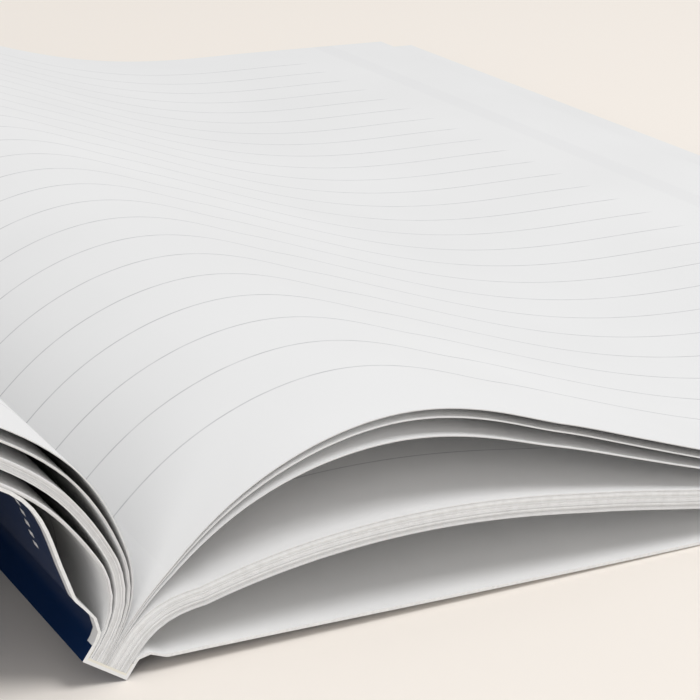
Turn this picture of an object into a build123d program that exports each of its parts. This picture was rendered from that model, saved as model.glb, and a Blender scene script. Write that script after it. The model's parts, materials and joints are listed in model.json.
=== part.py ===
"""Soft-cover pilot logbook, glued at the spine and lying open face up on a floor.

X runs across the open book from the left page to the right page, Y from the foot of the
pages to the head, and Z up. The origin is the middle of the flat part of the back cover,
on its underside, so the floor is the plane Z = 0.

Paper and card bend along their whole width. Here each bunch of leaves and each cover is a
chain of flat zones joined by folds that run along Y, so that the book can close flat.
"""
import os
from math import asin, cos, degrees, radians, sin, tan

from build123d import *

# Trimmed page and card
page_width = 152.4
page_height = 203.2
leaf_thickness = 0.09
leaf_gap = 0.01
leaf_pitch = leaf_thickness + leaf_gap
cover_thickness = 0.3
cover_overhang = 0.8

# Binding
spine_tilt = 56.0  # heading of the bound leaves, from +X toward +Z
spine_glue = 0.2
side_glue = 0.05
side_glue_width = 1.0
cover_fold_height = 1.7
leaf_fold_height = 2.6
left_fold_mitre = 25.0
bunch_clearance = 0.04
fold_clearance = 0.05

# Covers: zone lengths and headings from the spine outward. A slope's heading follows from
# the height at which it lands, and the front cover starts with its glued crease strip
back_cover_lengths = [79.0]
back_cover_headings = []
front_cover_lengths = [6.5, 6.2, 18.0, 54.0]
front_cover_headings = [110.0, 110.0, 160.0]

# Bunches of leaves: name, leaves, zone lengths, headings, air under the landed bunch
right_bunches = [
    ("right_leaf_block", 20, [15.0, 21.0, 58.0], [19.5, 2.0], 0.15),
    ("right_third_leaf", 1, [13.9, 18.0, 66.0], [43.0, 13.5], 0.3),
    ("right_second_leaf", 1, [14.2, 18.2, 68.0], [45.0, 17.0], 0.3),
    ("right_top_leaf", 1, [14.6, 18.2, 70.0], [46.0, 18.0], 0.35),
]
left_bunches = [
    ("left_last_leaves", 3, [13.4, 18.0, 65.0], [107.5, 158.0], 0.1),
    ("left_leaf_block", 9, [14.2, 18.2, 70.0], [104.5, 156.0], 0.25),
    ("left_second_leaves", 2, [14.8, 18.4, 74.0], [101.0, 154.0], 0.35),
    ("left_top_leaf", 1, [15.3, 18.6, 77.0], [99.0, 153.0], 0.4),
]
leaf_zones = ["rise", "crest", "slope", "flat"]
back_cover_zones = leaf_zones[2:]
front_cover_zones = ["crease"] + leaf_zones


def along(point, heading, distance):
    """The point at a distance from another along a heading in the XZ plane."""
    x = point[0] + distance * cos(radians(heading))
    z = point[1] + distance * sin(radians(heading))
    return (x, z)


def chain(base, lengths, headings, total, landing, outward):
    """Zones as (fold point, heading, length), ending flat at the landing height.

    outward is the flat zone's heading: 0 on the right and 180 on the left.
    """
    zones = []
    point = base
    for length, heading in zip(lengths, headings):
        zones.append((point, heading, length))
        point = along(point, heading, length)
    slope_length = lengths[len(headings)]
    dip = degrees(asin((landing - point[1]) / slope_length))
    slope_heading = dip if outward == 0 else outward - dip
    zones.append((point, slope_heading, slope_length))
    point = along(point, slope_heading, slope_length)
    zones.append((point, outward, total - sum(lengths)))
    return zones


def fold_gap(thickness, bend):
    """How far a sheet's end stays back from a mid-thickness fold."""
    return thickness / 2 * tan(radians(abs(bend) / 2)) + fold_clearance


def sheet_plane(point, heading):
    """Local x along the heading, local y to its right, at the foot of the page."""
    direction = (cos(radians(heading)), 0, sin(radians(heading)))
    return Plane(
        origin=(point[0] - origin_x, -page_height / 2, point[1]),
        x_dir=direction,
        z_dir=(0, 1, 0),
    )


# Stack across the spine, measured from the back cover's outer face
stack = cover_thickness + side_glue
bunch_middles = {}
for name, leaves, *_ in right_bunches + left_bunches[::-1]:
    bunch_middles[name] = stack + leaves * leaf_pitch / 2
    stack += leaves * leaf_pitch + bunch_clearance
text_block_end = stack - bunch_clearance
spine_width = text_block_end + side_glue + cover_thickness
leaf_root = cover_thickness + spine_glue


# The back cover is laid out first, from its own fold. The spine's lowest corner is its
# outer one, and it touches the floor
tilt = radians(spine_tilt)
back_fold = (0.0, cover_fold_height * sin(tilt) + cover_thickness / 2 * cos(tilt))
back_cover_total = page_width + cover_overhang - cover_fold_height
back_cover_chain = chain(
    back_fold,
    back_cover_lengths,
    back_cover_headings,
    back_cover_total,
    cover_thickness / 2,
    0,
)
flat_start, _, flat_length = back_cover_chain[-1]
origin_x = flat_start[0] + flat_length / 2


def spine_point(across, height):
    """A point of the tilted spine: across the stack, and up from its outer face."""
    foot = along(back_fold, spine_tilt, height - cover_fold_height)
    return along(foot, spine_tilt + 90, across - cover_thickness / 2)


def leaf_chain(name, leaves, lengths, headings, landing, outward):
    """The zones of one bunch of leaves, from its fold at the spine."""
    middle = bunch_middles[name]
    fold_height = leaf_fold_height
    if outward:
        beyond_gutter = middle - bunch_middles["left_top_leaf"]
        fold_height -= beyond_gutter * tan(radians(left_fold_mitre))
    total = page_width - (fold_height - leaf_root)
    base = spine_point(middle, fold_height)
    return fold_height, chain(base, lengths, headings, total, landing, outward)


# Every chain: name -> (leaves, height of its first fold, zones, zone names)
chains = {"back_cover": (0, cover_fold_height, back_cover_chain, back_cover_zones)}
level = cover_thickness
for name, leaves, lengths, headings, air in right_bunches:
    block = leaves * leaf_pitch
    landing = level + air + block / 2
    height, zones = leaf_chain(name, leaves, lengths, headings, landing, 0)
    chains[name] = (leaves, height, zones, leaf_zones)
    level += air + block

front_middle = spine_width - cover_thickness / 2
front_cover_chain = chain(
    spine_point(front_middle, cover_fold_height),
    front_cover_lengths,
    front_cover_headings,
    back_cover_total,
    cover_thickness / 2,
    180,
)
chains["front_cover"] = (0, cover_fold_height, front_cover_chain, front_cover_zones)
level = cover_thickness
for name, leaves, lengths, headings, air in left_bunches:
    block = leaves * leaf_pitch
    landing = level + air + block / 2
    height, zones = leaf_chain(name, leaves, lengths, headings, landing, 180)
    chains[name] = (leaves, height, zones, leaf_zones)
    level += air + block


def zone_part(name, leaves, point, heading, start, end):
    """One flat zone: a card panel, or a pile of separate leaves."""
    sheets = max(leaves, 1)
    thickness = leaf_thickness if leaves else cover_thickness
    with BuildPart() as zone:
        with BuildSketch(sheet_plane(point, heading)):
            with Locations(((start + end) / 2, 0)):
                with GridLocations(leaf_pitch, leaf_pitch, 1, sheets):
                    Rectangle(end - start, thickness)
        extrude(amount=page_height)
    zone.part.label = name
    export_step(zone.part, f"parts/{name}.step")


def spine_part(name, rectangles):
    """A piece of the binding from rectangles (across from, to, height from, to)."""
    with BuildPart() as piece:
        with BuildSketch(sheet_plane(spine_point(0, 0), spine_tilt)):
            for across_from, across_to, low, high in rectangles:
                with Locations(((low + high) / 2, -(across_from + across_to) / 2)):
                    Rectangle(high - low, across_to - across_from)
        extrude(amount=page_height)
    piece.part.label = name
    export_step(piece.part, f"parts/{name}.step")


os.makedirs("parts", exist_ok=True)

# Covers and leaves, zone by zone
for name, (leaves, _, zones, zone_names) in chains.items():
    thickness = leaves * leaf_pitch if leaves else cover_thickness
    bends = []
    previous = spine_tilt
    for _, heading, _ in zones:
        bends.append(heading - previous)
        previous = heading
    for index, (point, heading, length) in enumerate(zones):
        start = fold_gap(thickness, bends[index])
        end = length
        if index + 1 < len(zones):
            end -= fold_gap(thickness, bends[index + 1])
        zone_part(f"{name}_{zone_names[index]}", leaves, point, heading, start, end)

# Card around the spine, up to the fold of each cover
back_bend = back_cover_chain[0][1] - spine_tilt
front_bend = front_cover_headings[0] - spine_tilt
back_top = cover_fold_height - fold_gap(cover_thickness, back_bend)
front_top = cover_fold_height - fold_gap(cover_thickness, front_bend)
spine_part(
    "spine_card",
    [
        (0, spine_width, 0, cover_thickness),
        (0, cover_thickness, 0, back_top),
        (spine_width - cover_thickness, spine_width, 0, front_top),
    ],
)

# Glue along the spine and up the first and last leaves
glue_end = spine_width - cover_thickness
spine_part("spine_glue", [(cover_thickness, glue_end, cover_thickness, leaf_root)])
side_glue_top = leaf_root + side_glue_width
spine_part(
    "back_side_glue",
    [(cover_thickness, cover_thickness + side_glue, leaf_root, side_glue_top)],
)
spine_part("front_side_glue", [(text_block_end, glue_end, leaf_root, side_glue_top)])

# Bound edges of all the leaves, between the glue and each bunch's fold
bound_edges = []
for name, (leaves, height, zones, _) in chains.items():
    bunch_start = bunch_middles.get(name, 0) - leaves * leaf_pitch / 2
    edge_top = height - fold_gap(leaves * leaf_pitch, zones[0][1] - spine_tilt)
    for leaf in range(leaves):
        middle = bunch_start + (leaf + 0.5) * leaf_pitch
        edge = (middle - leaf_thickness / 2, middle + leaf_thickness / 2)
        bound_edges.append((*edge, leaf_root, edge_top))
spine_part("bound_leaf_edges", bound_edges)
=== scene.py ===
"""Looks of a soft-cover pilot logbook lying open: paper, card and glue.

Each bunch of leaves and each cover is drawn as one smooth curve through the folds of
its CAD zones. The curve is cut between folds, and each cut piece bends across one
joint. A point of a sheet is (s, o): s along the sheet from the fold, o off the middle
of the pile. Covers and last leaves do so exactly. The other bunches keep a small step
at each cut between opposite bends, which evens their slope at rest.
"""
import json
import random

import bpy
import numpy as np
from mathutils import Matrix, Vector

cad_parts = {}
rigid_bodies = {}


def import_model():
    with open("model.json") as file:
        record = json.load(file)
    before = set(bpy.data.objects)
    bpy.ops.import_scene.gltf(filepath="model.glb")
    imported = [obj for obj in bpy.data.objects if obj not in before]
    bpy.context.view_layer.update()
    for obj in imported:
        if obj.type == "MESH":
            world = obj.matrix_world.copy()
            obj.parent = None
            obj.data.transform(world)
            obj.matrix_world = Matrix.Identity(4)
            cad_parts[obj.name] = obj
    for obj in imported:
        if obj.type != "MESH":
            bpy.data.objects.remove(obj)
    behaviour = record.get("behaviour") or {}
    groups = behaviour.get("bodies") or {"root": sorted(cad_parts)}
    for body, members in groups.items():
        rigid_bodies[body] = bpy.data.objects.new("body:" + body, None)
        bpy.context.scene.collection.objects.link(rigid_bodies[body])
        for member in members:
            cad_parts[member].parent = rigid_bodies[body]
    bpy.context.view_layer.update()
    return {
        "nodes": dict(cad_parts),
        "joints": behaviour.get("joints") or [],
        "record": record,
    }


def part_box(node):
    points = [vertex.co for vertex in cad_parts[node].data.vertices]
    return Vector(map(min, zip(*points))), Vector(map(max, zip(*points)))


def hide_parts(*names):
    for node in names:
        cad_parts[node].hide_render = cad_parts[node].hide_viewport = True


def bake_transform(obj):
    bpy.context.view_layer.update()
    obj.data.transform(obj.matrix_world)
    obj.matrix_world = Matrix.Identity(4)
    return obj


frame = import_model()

MM = 0.001
LEAF_THICKNESS = 0.09 * MM
LEAF_PITCH = 0.1 * MM
COVER_THICKNESS = 0.3 * MM
LEAF_ROOT = 0.5 * MM  # glue and card below the leaves, up the spine
LANDING_REACH = 20 * MM  # how far past its last fold a sheet still settles
LIKE_SPLIT = 0.5  # share of its length at which a zone between like bends is cut
OPPOSITE_SPLIT = 0.25  # the same for a zone between opposite bends
OPPOSITE_WEIGHTS = (0.01, 0.993)  # weights beside that cut, which keep the slope even
# share of the smaller bend by which a cut between like bends may stand proud
LEAF_ROUNDNESS = 0.42
COVER_ROUNDNESS = 0.3
RELAX_ROUNDS = 200  # rounds that settle the angles at the cuts
RELAX_SHARE = 0.3  # how much of its new angles each round takes
BISECTIONS = 45  # halvings that find a point's weight on its bend
CARD_STUB = 0.13 * MM  # how far a cover reaches back toward the spine card
CARD_BEND = 3 * MM  # how far past the spine the back cover still bends
SCORE_REACH = 1.5 * MM  # half the width of the front cover's scored crease
STEP = 1.2 * MM  # between rows of points along a sheet
DISTANCE_DECIMALS = 7  # rows nearer than 0.1 micrometre are one row
SEAM_STEPS = [0.2 * MM, 0.5 * MM]  # finer steps beside a cut, so that shading runs on
SEAM_BLEND = 9 * MM  # how far from a cut its two sides are drawn together
SHARP_ANGLE = 0.8  # radians, above which an edge is shaded sharp
TRIM_SPREAD_MM = 0.25  # ragged fore edges of the leaves in a bunch
END_SPREAD_MM = 0.12  # ragged foot and head
SEED = 7
LEAF_COUNTS = {
    "right_leaf_block": 20,
    "right_third_leaf": 1,
    "right_second_leaf": 1,
    "right_top_leaf": 1,
    "left_last_leaves": 3,
    "left_leaf_block": 9,
    "left_second_leaves": 2,
    "left_top_leaf": 1,
}
COVERS = ["back_cover", "front_cover"]

record = frame["record"]
joints = {joint["child"]: joint for joint in frame["joints"]}
ratios = {c["joint"]: c["ratio"] for c in record["behaviour"]["couplings"]}
travel = joints["back_cover_slope"]["range_deg"][1]

# whatever is left of Blender's default scene
for name in ("Cube", "Light", "Camera"):
    if name in bpy.data.objects:
        bpy.data.objects.remove(bpy.data.objects[name])


# --- Sheets ---------------------------------------------------------------------------


def direction(heading):
    """Unit vectors in XZ, one row for each heading."""
    return np.stack([np.cos(heading), np.sin(heading)], axis=-1)


def smooth(u):
    u = np.clip(u, 0, 1)
    return u * u * (3 - 2 * u)


def smooth_inverse(w):
    """Where smooth reaches the weight w."""
    return 0.5 - np.sin(np.arcsin(1 - 2 * np.clip(w, 0, 1)) / 3)


def bend_of(joint):
    """Child heading less parent heading at rest, in radians."""
    if joint["name"] == "book_close":
        return -np.radians(travel)
    return np.radians(ratios.get(joint["name"], 0) * travel)


def zone_bodies(name):
    """The bodies of one chain, from the spine outward."""
    return [j["child"] for j in frame["joints"] if j["child"].startswith(name + "_")]


spine_heading = -sum(bend_of(joints[body]) for body in zone_bodies("back_cover"))


def proud_angles(back, ahead, bends, roundness):
    """For each cut between two like bends, the angle by which it stands proud."""
    count = len(bends)
    proud = np.zeros(count + 1)
    for _ in range(RELAX_ROUNDS):
        new = np.zeros(count + 1)
        slopes = []
        for i, bend in enumerate(bends):
            if bend == 0:
                slopes.append((0, 0))
                continue
            u0 = smooth_inverse(proud[i] / bend)
            u1 = smooth_inverse(1 - proud[i + 1] / bend)
            span = (back[i] + ahead[i]) / (u1 - u0)
            # the slope of the smoothstep is 6 u (1 - u)
            slopes.append([6 * u * (1 - u) / span * bend for u in (u0, u1)])
        for m in range(1, count):
            if bends[m - 1] * bends[m] <= 0:
                continue
            turn = 0.5 * (ahead[m - 1] * slopes[m - 1][1] + back[m] * slopes[m][0])
            limit = roundness * min(abs(bends[m - 1]), abs(bends[m]))
            sign = np.sign(bends[m])
            new[m] = sign * min(max(sign * turn, 0), limit)
        proud = (1 - RELAX_SHARE) * proud + RELAX_SHARE * new
    return proud


class Fold:
    """One bend of a chain, from the cut before it to the cut after it."""

    def __init__(self, point, heading, bend, back, ahead, weight_in, weight_out):
        self.point = np.array(point)
        self.heading = heading
        self.bend = bend
        self.back = back
        self.axis = direction(np.array(heading + bend / 2))
        low = -back * direction(np.array(heading + weight_in * bend)) @ self.axis
        high = ahead * direction(np.array(heading + weight_out * bend)) @ self.axis
        u0, u1 = smooth_inverse(weight_in), smooth_inverse(weight_out)
        self.span = (high - low) / (u1 - u0)
        self.start = low - u0 * self.span

    def place(self, s, o):
        """Rest points in XZ, for arrays s and o."""
        low, high = np.zeros_like(s), np.ones_like(s)
        for _ in range(BISECTIONS):
            w = (low + high) / 2
            turned = self.heading + w * self.bend
            across = direction(turned + np.pi / 2)
            q = s[:, None] * direction(turned) + o[:, None] * across
            above = smooth((q @ self.axis - self.start) / self.span) > w
            low, high = np.where(above, w, low), np.where(above, high, w)
        return self.point + q

    def limits(self):
        """Blend start and end in the row frame."""
        start = self.point + self.start * self.axis
        end = start + self.span * self.axis
        return (start[0], 0, start[1]), (end[0], 0, end[1])


def fold_chain(name):
    """The folds of one chain, with the distance along the sheet of each."""
    bodies = zone_bodies(name)
    bends = [bend_of(joints[body]) for body in bodies]
    points = []
    headings = []
    heading = spine_heading
    for body, bend in zip(bodies, bends):
        x, _, z = joints[body]["pos_m"]
        point = np.array([x, z])
        if joints[body]["name"] == "front_cover_swing":
            # this hinge is on the card's outer face, not at its middle
            point = point - COVER_THICKNESS / 2 * direction(heading + np.pi / 2)
        points.append(point)
        headings.append(heading)
        heading += bend
    lengths = [float(np.linalg.norm(b - a)) for a, b in zip(points, points[1:])]
    spine_way = direction(np.array(spine_heading))
    # the spine card's outer face is its lowest line up the spine's heading
    card = frame["nodes"]["spine_card"].data.vertices
    base = min(spine_way @ np.array([v.co.x, v.co.z]) for v in card)
    stub = float(spine_way @ points[0]) - base - LEAF_ROOT
    if name in COVERS:
        stub = CARD_STUB
    low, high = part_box(bodies[-1])
    edge = high.x if name.startswith(("right", "back")) else low.x
    reach = abs(edge - points[-1][0])
    count = len(bends)
    back = [stub] + [0] * (count - 1)
    ahead = [0] * (count - 1) + [min(LANDING_REACH, reach)]
    for m in range(1, count):
        length = lengths[m - 1]
        split = LIKE_SPLIT if bends[m - 1] * bends[m] > 0 else OPPOSITE_SPLIT
        cut = split * length
        if name == "back_cover":
            cut = CARD_BEND
        elif bends[m] == 0:
            cut = length - SCORE_REACH
        elif bends[m - 1] == 0:
            cut = SCORE_REACH
        ahead[m - 1] = cut
        back[m] = length - cut
    # these sheets show in the closed book, and beside a cover that is swung out
    exact = name in COVERS + ["left_last_leaves"]
    roundness = COVER_ROUNDNESS if name in COVERS else LEAF_ROUNDNESS
    proud = proud_angles(back, ahead, bends, roundness)
    folds = []
    travelled = stub
    for i, bend in enumerate(bends):
        share_in = proud[i] / bend if bend else 0
        share_out = 1 - proud[i + 1] / bend if bend else 1
        if not exact:
            if i > 0 and bends[i - 1] * bend < 0:
                share_in = OPPOSITE_WEIGHTS[0]
            if i < count - 1 and bends[i + 1] * bend < 0:
                share_out = OPPOSITE_WEIGHTS[1]
        fold = Fold(
            points[i], headings[i], bend, back[i], ahead[i], share_in, share_out
        )
        fold.body = bodies[i]
        fold.parent = joints[bodies[i]]["parent"]
        fold.distance = travelled
        fold.mesh_ahead = reach if i == count - 1 else ahead[i]
        folds.append(fold)
        if i < count - 1:
            travelled += lengths[i]
    return folds


def steps(low, high):
    """Distances from low to high, finer at both ends."""
    inner = np.linspace(low, high, max(2, int((high - low) / STEP) + 1))
    fine = [low + d for d in SEAM_STEPS] + [high - d for d in SEAM_STEPS]
    rows = np.round(np.concatenate([inner, fine]), DISTANCE_DECIMALS)
    return np.unique(rows.clip(low, high))


def profiles(folds, offset, trim):
    """For each fold of a chain, the distances and rest points of a line at one offset.

    Where two lines meet at a cut, each is drawn half of the way to the other.
    """
    lines = []
    for i, fold in enumerate(folds):
        last = i == len(folds) - 1
        s = steps(-fold.back, fold.mesh_ahead - (trim if last else 0))
        lines.append((s, fold.place(s, np.full_like(s, offset))))
    for (s_a, a), (s_b, b) in zip(lines, lines[1:]):
        gap = b[0] - a[-1]
        room_a = min(SEAM_BLEND, s_a[-1] - s_a[0])
        room_b = min(SEAM_BLEND, s_b[-1] - s_b[0])
        a += gap / 2 * smooth(1 - (s_a[-1] - s_a) / room_a)[:, None]
        b -= gap / 2 * smooth(1 - (s_b - s_b[0]) / room_b)[:, None]
    return lines


def sheet_mesh(name, sheets):
    """One mesh of thin sheets.

    Each is (left line, right line, distances, y range, open ends, tone). The left face
    is slot 0, the right face slot 1 and the cut edges slot 2.
    """
    verts, faces, slots, uvs, tones = [], [], [], [], []
    for left, right, distance, (y_low, y_high), (open_start, open_end), tone in sheets:
        count = len(distance)
        first = len(verts)
        for line in (left, right):
            for y in (y_low, y_high):
                for (x, z), d in zip(line, distance):
                    verts.append((x, y, z))
                    uvs.append((d, y - page_low))
                    tones.append(tone)
        ll, lh, rl, rh = (first + k * count for k in range(4))
        for k in range(count - 1):
            faces.append((ll + k, ll + k + 1, lh + k + 1, lh + k))
            faces.append((rl + k, rh + k, rh + k + 1, rl + k + 1))
            faces.append((ll + k, rl + k, rl + k + 1, ll + k + 1))
            faces.append((lh + k, lh + k + 1, rh + k + 1, rh + k))
            slots += [0, 1, 2, 2]
        if not open_start:
            faces.append((ll, lh, rh, rl))
            slots.append(2)
        if not open_end:
            k = count - 1
            faces.append((ll + k, rl + k, rh + k, lh + k))
            slots.append(2)
    mesh = bpy.data.meshes.new(name)
    mesh.from_pydata(verts, [], faces)
    mesh.polygons.foreach_set("material_index", slots)
    layer = mesh.uv_layers.new(name="sheet")
    corners = np.array([loop.vertex_index for loop in mesh.loops])
    layer.data.foreach_set("uv", np.array(uvs, np.float32)[corners].ravel())
    tone_layer = mesh.attributes.new("leaf_tone", "FLOAT", "POINT")
    tone_layer.data.foreach_set("value", np.array(tones, np.float32))
    mesh.polygons.foreach_set("use_smooth", [True] * len(faces))
    mesh.set_sharp_from_angle(angle=SHARP_ANGLE)
    mesh.update()
    piece = bpy.data.objects.new(name, mesh)
    bpy.context.scene.collection.objects.link(piece)
    return piece


# --- Materials ------------------------------------------------------------------------


def grey(level):
    return (level, level, level, 1)


class Nodes:
    """A small helper that adds and joins shader nodes."""

    def __init__(self, name):
        self.material = bpy.data.materials.new(name)
        self.material.use_nodes = True
        self.tree = self.material.node_tree
        self.bsdf = self.tree.nodes["Principled BSDF"]

    def put(self, value, socket):
        if isinstance(value, bpy.types.NodeSocket):
            self.tree.links.new(value, socket)
        else:
            socket.default_value = value

    def math(self, operation, a, b=0.0):
        node = self.tree.nodes.new("ShaderNodeMath")
        node.operation = operation
        for value, socket in zip((a, b), node.inputs):
            self.put(value, socket)
        return node.outputs[0]

    def mix(self, factor, a, b):
        node = self.tree.nodes.new("ShaderNodeMix")
        node.data_type = "RGBA"
        self.put(factor, node.inputs["Factor"])
        self.put(a, node.inputs[6])
        self.put(b, node.inputs[7])
        return node.outputs[2]

    def noise(self, scale, detail):
        coordinates = self.tree.nodes.new("ShaderNodeTexCoord")
        node = self.tree.nodes.new("ShaderNodeTexNoise")
        node.inputs["Scale"].default_value = scale
        node.inputs["Detail"].default_value = detail
        self.tree.links.new(coordinates.outputs["Object"], node.inputs["Vector"])
        return node.outputs[0]

    def sheet_place(self):
        """Distances from the bound edge and from the foot of the page, in metres."""
        node = self.tree.nodes.new("ShaderNodeUVMap")
        node.uv_map = "sheet"
        split = self.tree.nodes.new("ShaderNodeSeparateXYZ")
        self.tree.links.new(node.outputs[0], split.inputs[0])
        return split.outputs[0], split.outputs[1]

    def attribute(self, name):
        node = self.tree.nodes.new("ShaderNodeAttribute")
        node.attribute_name = name
        return node.outputs["Fac"]

    def between(self, value, low, high, soft):
        """1 between low and high, falling off over soft."""
        up = self.ramp(value, low - soft, low)
        down = self.ramp(value, high + soft, high)
        return self.math("MULTIPLY", up, down)

    def ramp(self, value, low, high):
        """From 0 at low to 1 at high, held beyond them. low may be the larger."""
        node = self.tree.nodes.new("ShaderNodeMapRange")
        self.put(value, node.inputs["Value"])
        node.inputs["From Min"].default_value = low
        node.inputs["From Max"].default_value = high
        return node.outputs[0]

    def bump(self, height, strength, distance):
        node = self.tree.nodes.new("ShaderNodeBump")
        node.inputs["Strength"].default_value = strength
        node.inputs["Distance"].default_value = distance
        self.put(height, node.inputs["Height"])
        self.tree.links.new(node.outputs[0], self.bsdf.inputs["Normal"])

    def finish(self, color, roughness, specular):
        self.put(color, self.bsdf.inputs["Base Color"])
        self.put(roughness, self.bsdf.inputs["Roughness"])
        self.bsdf.inputs["Specular IOR Level"].default_value = specular
        return self.material


RULE_PITCH = 7.47 * MM
FIRST_RULE = 11.8 * MM  # up from the foot of the page
RULE_HALF_WIDTH = 0.1 * MM
RULE_COUNT = 25
RULE_END = 128 * MM  # out from the bound edge
RULE_FADE = 2 * MM
PAINTED_SHADE_BAND = (138 * MM, 141 * MM)  # painted shade: a faint darker band near the fore edge, where the page bends
PAINTED_SHADE_BAND_FADE = 0.8 * MM
PAINTED_SHADE_BAND_STRENGTH = 0.25
BORDER = (0, 1 * MM)  # the cover's white line, up from its foot edge
BORDER_FADE = 0.1 * MM
DASH_PITCH = 1.1 * MM
DASH_SHARE = (0.2, 0.62)  # the part of each pitch that is white
DASH_SHARE_FADE = 0.05
DASH_ROW = (5 * MM, 5.9 * MM)  # up from the foot edge
DASH_ROW_FADE = 0.06 * MM
DASH_RANGE = (7.6 * MM, 24 * MM)  # out from the spine
DASH_RANGE_FADE = 0.05 * MM


def leaf_paper():
    """Paper with pale rules along the page, and painted shade: a faint darker band near
    the fore edge, where the page bends.
    """
    m = Nodes("ruled_paper")
    fibre = m.noise(900, 4)
    cloud = m.noise(35, 2)
    base = m.mix(m.ramp(cloud, 0.3, 0.7), grey(0.80), grey(0.825))
    out, up = m.sheet_place()
    turns = m.math("DIVIDE", m.math("SUBTRACT", up, FIRST_RULE), RULE_PITCH)
    nearest = m.math("ROUND", turns)
    off = m.math("ABSOLUTE", m.math("SUBTRACT", turns, nearest))
    off = m.math("MULTIPLY", off, RULE_PITCH)
    line = m.ramp(off, RULE_HALF_WIDTH * 1.3, RULE_HALF_WIDTH * 0.7)
    # turns counts the rules from 0
    ruled = m.between(nearest, -0.1, RULE_COUNT - 0.9, 0.2)
    ruled = m.math("MULTIPLY", ruled, m.between(out, 0, RULE_END, RULE_FADE))
    line = m.math("MULTIPLY", line, ruled)
    # the ink is uneven
    line = m.math("MULTIPLY", line, m.ramp(m.noise(400, 2), -0.2, 0.6))
    base = m.mix(line, base, (0.56, 0.56, 0.57, 1))
    # painted shade: the darker band stands for the shade where the page bends near its
    # fore edge
    painted_shade_band = m.math("MULTIPLY", m.between(out, *PAINTED_SHADE_BAND, PAINTED_SHADE_BAND_FADE), PAINTED_SHADE_BAND_STRENGTH)
    base = m.mix(painted_shade_band, base, (0.74, 0.74, 0.75, 1))
    m.bump(fibre, strength=0.12, distance=0.02 * MM)
    return m.finish(base, roughness=0.82, specular=0.25)


def paper_edge():
    """Guillotined edges, each leaf a little lighter or darker than the next."""
    m = Nodes("leaf_edges")
    tone = m.attribute("leaf_tone")
    base = m.mix(tone, grey(0.60), grey(0.82))
    speck = m.noise(1500, 4)
    dust = m.math("MULTIPLY", m.ramp(speck, 0.4, 0.75), 0.35)
    base = m.mix(dust, base, (0.5, 0.49, 0.48, 1))
    m.bump(speck, strength=0.3, distance=0.03 * MM)
    return m.finish(base, roughness=0.9, specular=0.15)


def card_outside(name, printed):
    """Laminated navy card, printed with a white border line and a row of dashes."""
    m = Nodes(name)
    cloud = m.ramp(m.noise(60, 3), 0.3, 0.7)
    base = m.mix(cloud, (0.0026, 0.0150, 0.058, 1), (0.0034, 0.0185, 0.070, 1))
    if printed:
        out, up = m.sheet_place()
        border = m.between(up, *BORDER, BORDER_FADE)
        cycle = m.math("FRACT", m.math("DIVIDE", out, DASH_PITCH))
        dash = m.between(cycle, *DASH_SHARE, DASH_SHARE_FADE)
        dash = m.math("MULTIPLY", dash, m.between(up, *DASH_ROW, DASH_ROW_FADE))
        dash = m.math("MULTIPLY", dash, m.between(out, *DASH_RANGE, DASH_RANGE_FADE))
        white = m.math("MAXIMUM", border, dash)
        base = m.mix(white, base, grey(0.8))
    else:
        # the card's cut ends, at the foot and head of the spine, show its white core
        normal = m.tree.nodes.new("ShaderNodeTexCoord").outputs["Normal"]
        split = m.tree.nodes.new("ShaderNodeSeparateXYZ")
        m.tree.links.new(normal, split.inputs[0])
        cut = m.ramp(m.math("ABSOLUTE", split.outputs[1]), 0.4, 0.6)
        base = m.mix(cut, base, grey(0.74))
    m.bump(m.noise(2500, 3), strength=0.06, distance=0.01 * MM)
    rough = m.ramp(m.noise(25, 3), -1.2, 3.0)
    m.bsdf.inputs["Coat Weight"].default_value = 0.05
    m.bsdf.inputs["Coat Roughness"].default_value = 0.35
    return m.finish(base, rough, specular=0.25)


def card_inside():
    """The unprinted white inside of the cover."""
    m = Nodes("card_inside")
    cloud = m.noise(50, 3)
    base = m.mix(m.ramp(cloud, 0.3, 0.7), grey(0.80), (0.84, 0.84, 0.835, 1))
    m.bump(m.noise(1100, 4), strength=0.12, distance=0.02 * MM)
    return m.finish(base, roughness=0.7, specular=0.3)


def card_core():
    """The cut edges of the cover."""
    m = Nodes("card_core")
    layers = m.noise(3000, 3)
    base = m.mix(layers, (0.60, 0.60, 0.59, 1), (0.86, 0.86, 0.85, 1))
    m.bump(layers, strength=0.3, distance=0.03 * MM)
    return m.finish(base, roughness=0.85, specular=0.2)


def glue():
    m = Nodes("binding_glue")
    cloud = m.noise(500, 3)
    base = m.mix(cloud, (0.66, 0.63, 0.54, 1), (0.80, 0.78, 0.70, 1))
    m.bump(cloud, strength=0.4, distance=0.05 * MM)
    return m.finish(base, roughness=0.45, specular=0.4)


ruled_paper = leaf_paper()
leaf_edges = paper_edge()
navy = card_outside("card_outside", printed=True)
inside = card_inside()
core = card_core()
hot_melt = glue()


# --- Pieces ---------------------------------------------------------------------------

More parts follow.
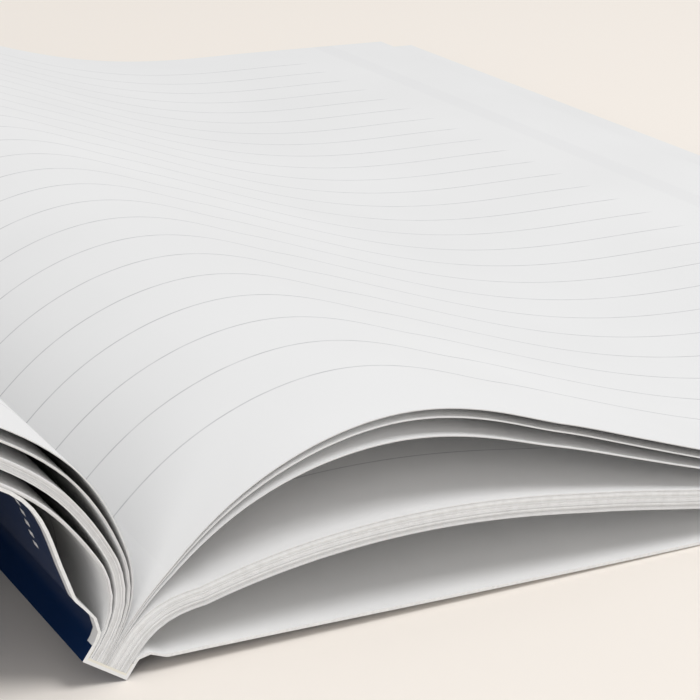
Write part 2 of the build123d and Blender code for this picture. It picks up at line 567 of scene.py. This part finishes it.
page_low, page_high = (corner.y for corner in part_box("right_top_leaf_flat"))
draw = random.Random(SEED)
for name in list(LEAF_COUNTS) + COVERS:
    folds = fold_chain(name)
    leaves = LEAF_COUNTS.get(name, 1)
    thickness = COVER_THICKNESS if name in COVERS else LEAF_THICKNESS
    pieces = [[] for _ in folds]
    for leaf in range(leaves):
        middle = (leaf - (leaves - 1) / 2) * LEAF_PITCH
        trim = 0 if leaves == 1 else draw.uniform(0, TRIM_SPREAD_MM) * MM
        foot = 0 if name in COVERS else draw.uniform(0, END_SPREAD_MM) * MM
        head = 0 if name in COVERS else draw.uniform(0, END_SPREAD_MM) * MM
        tone = draw.uniform(0, 1)
        left = profiles(folds, middle + thickness / 2, trim)
        right = profiles(folds, middle - thickness / 2, trim)
        for i, fold in enumerate(folds):
            distance = left[i][0] + fold.distance
            ends = (i > 0, i < len(folds) - 1)
            y = (page_low + foot, page_high - head)
            pieces[i].append((left[i][1], right[i][1], distance, y, ends, tone))
    for fold, sheets in zip(folds, pieces):
        piece = sheet_mesh(fold.body + "_sheet", sheets)
        if name in COVERS:
            # the left face is the outside of the front cover and the inside of the back
            faces = [navy, inside] if name == "front_cover" else [inside, navy]
            materials = faces + [core]
        else:
            materials = [ruled_paper, ruled_paper, leaf_edges]
        for material in materials:
            piece.data.materials.append(material)
        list(fold.limits())
        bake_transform(piece)
        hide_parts(fold.body)
        if fold is folds[0] and name not in COVERS:
            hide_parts("bound_leaf_edges")

for node, material in (
    ("spine_card", card_outside("spine_outside", printed=False)),
    ("spine_glue", hot_melt),
    ("back_side_glue", hot_melt),
    ("front_side_glue", hot_melt),
):
    data = frame["nodes"][node].data
    data.materials.clear()
    data.materials.append(material)


# --- Floor, light and camera ----------------------------------------------------------

FLOOR_HALF = 3.0
FLOOR_DROP = 0.05 * MM  # keeps the floor off the cover's lowest faces
ROOM_LIGHT = 0.52
LIGHTS = (  # name, place, what it is aimed at, diameter, watts
    ("key", (0.6, -0.6, 1.4), (-0.08, 0, 0), 0.8, 14.5),
    ("fill", (-0.9, -0.9, 0.35), (-0.14, -0.1, 0), 0.8, 4),
)
# the camera was fitted to the photograph's rules and page edges
LENS = 108.95
SENSOR_WIDTH = 36
CLIP_START = 0.005
CAMERA_RIGHT = (0.8717, -0.4892, 0.0304)
CAMERA_FORWARD = (0.4688, 0.8140, -0.3429)
# the photograph's gutter stands this far from the first fold of the back cover
GUTTER_SHIFT = -1.03 * MM
# the camera's place from the gutter, the foot of the page and the floor
CAMERA_OFFSET = (-63.1 * MM, -145.8 * MM, 87.9 * MM)

floor_mesh = bpy.data.meshes.new("floor")
corners = [(-1, -1), (1, -1), (1, 1), (-1, 1)]
floor_mesh.from_pydata(
    [(x * FLOOR_HALF, y * FLOOR_HALF, 0) for x, y in corners], [], [(0, 1, 2, 3)]
)
floor = bpy.data.objects.new("floor", floor_mesh)
floor.location.z = -FLOOR_DROP
bpy.context.scene.collection.objects.link(floor)
floor_look = Nodes("floor_paint")
floor_look.finish((0.896, 0.838, 0.776, 1), roughness=0.95, specular=0.05)
floor_mesh.materials.append(floor_look.material)

world = bpy.data.worlds.new("soft_room")
bpy.context.scene.world = world
world.use_nodes = True
background = world.node_tree.nodes["Background"]
background.inputs["Color"].default_value = grey(1)
background.inputs["Strength"].default_value = ROOM_LIGHT


def area_light(name, place, target, size, power):
    data = bpy.data.lights.new(name, "AREA")
    data.shape = "DISK"
    data.size = size
    data.energy = power
    lamp = bpy.data.objects.new(name, data)
    lamp.location = place
    aim = Vector(target) - Vector(place)
    lamp.rotation_euler = aim.to_track_quat("-Z", "Y").to_euler()
    bpy.context.scene.collection.objects.link(lamp)


for light in LIGHTS:
    area_light(*light)

camera_data = bpy.data.cameras.new("camera")
camera_data.lens = LENS
camera_data.sensor_width = SENSOR_WIDTH
camera_data.clip_start = CLIP_START
camera = bpy.data.objects.new("camera", camera_data)
right = Vector(CAMERA_RIGHT).normalized()
forward = Vector(CAMERA_FORWARD)
forward = (forward - right * forward.dot(right)).normalized()
above = right.cross(forward)
rotation = Matrix((right, above, -forward)).transposed().to_4x4()
gutter_x = joints["back_cover_slope"]["pos_m"][0] + GUTTER_SHIFT
out, across, up = CAMERA_OFFSET
place = Vector((gutter_x + out, page_low + across, up))
camera.matrix_world = Matrix.Translation(place) @ rotation
bpy.context.scene.collection.objects.link(camera)
bpy.context.scene.camera = camera
bpy.context.scene.view_settings.view_transform = "Standard"
